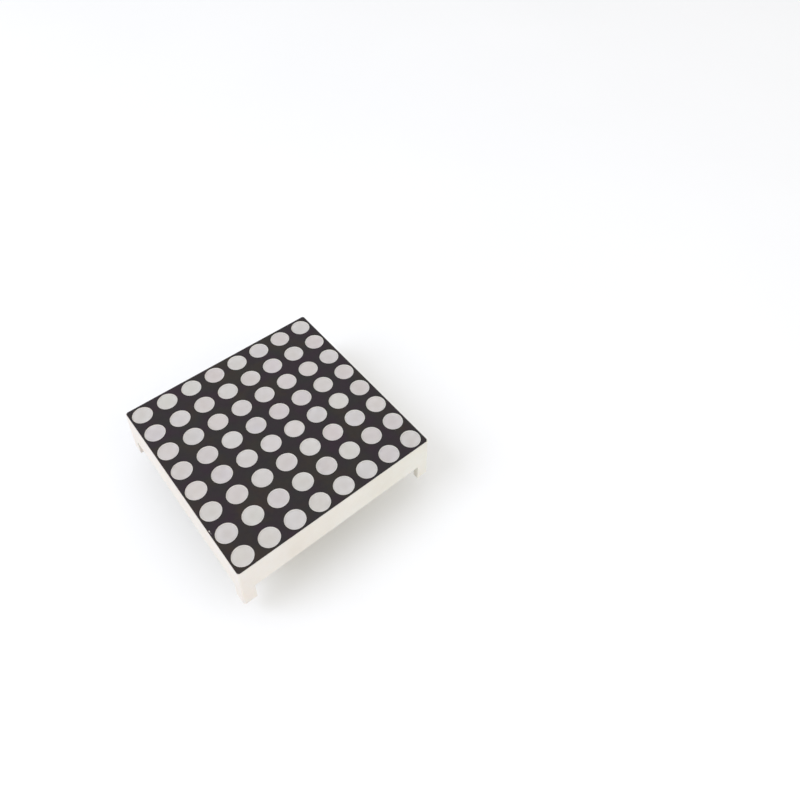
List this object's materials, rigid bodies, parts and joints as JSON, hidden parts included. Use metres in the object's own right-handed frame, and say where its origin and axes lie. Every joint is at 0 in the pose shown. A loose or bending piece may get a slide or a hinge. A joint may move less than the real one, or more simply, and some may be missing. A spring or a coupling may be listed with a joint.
{
  "type": "led dot matrix",
  "caption": "Square dot-matrix display module with round windows in a black face, an ivory reflector housing and two rows of round pins",
  "frame": {"origin": "centre of the pin pattern in the seating plane, where the module meets its board", "axes": "+Z towards the face, +X along the pin rows, from pin 1 to pin 8, +Y from the front pin row to the rear one"},
  "size_m": [0.032, 0.032, 0.0115],
  "materials": {
    "housing": "moulded, satin ivory",
    "face_black": "matt printed coat",
    "lens_epoxy": "diffusing epoxy, pale grey",
    "chip": "semiconductor die",
    "bond_wire": "fine gold-coloured wire",
    "board": "glass-fibre laminate with green mask",
    "copper": "plated copper",
    "solder": "tin solder",
    "potting": "cast epoxy, off-white",
    "pin_metal": "tinned round wire"
  },
  "bodies": {
    "root": {"reflector_housing": "housing", "face_coat": "face_black", "circuit_board": "board", "row_tracks": "copper", "column_tracks": "copper", "pin_lands": "copper", "solder_joints": "solder", "rear_potting": "potting", "lens_row_1": "lens_epoxy", "lens_row_2": "lens_epoxy", "lens_row_3": "lens_epoxy", "lens_row_4": "lens_epoxy", "lens_row_5": "lens_epoxy", "lens_row_6": "lens_epoxy", "lens_row_7": "lens_epoxy", "lens_row_8": "lens_epoxy", "led_chips_row_1": "chip", "led_chips_row_2": "chip", "led_chips_row_3": "chip", "led_chips_row_4": "chip", "led_chips_row_5": "chip", "led_chips_row_6": "chip", "led_chips_row_7": "chip", "led_chips_row_8": "chip", "bond_wires_row_1": "bond_wire", "bond_wires_row_2": "bond_wire", "bond_wires_row_3": "bond_wire", "bond_wires_row_4": "bond_wire", "bond_wires_row_5": "bond_wire", "bond_wires_row_6": "bond_wire", "bond_wires_row_7": "bond_wire", "bond_wires_row_8": "bond_wire", "pin_1": "pin_metal", "pin_2": "pin_metal", "pin_3": "pin_metal", "pin_4": "pin_metal", "pin_5": "pin_metal", "pin_6": "pin_metal", "pin_7": "pin_metal", "pin_8": "pin_metal", "pin_9": "pin_metal", "pin_10": "pin_metal", "pin_11": "pin_metal", "pin_12": "pin_metal", "pin_13": "pin_metal", "pin_14": "pin_metal", "pin_15": "pin_metal", "pin_16": "pin_metal"}
  },
  "joints": []
}
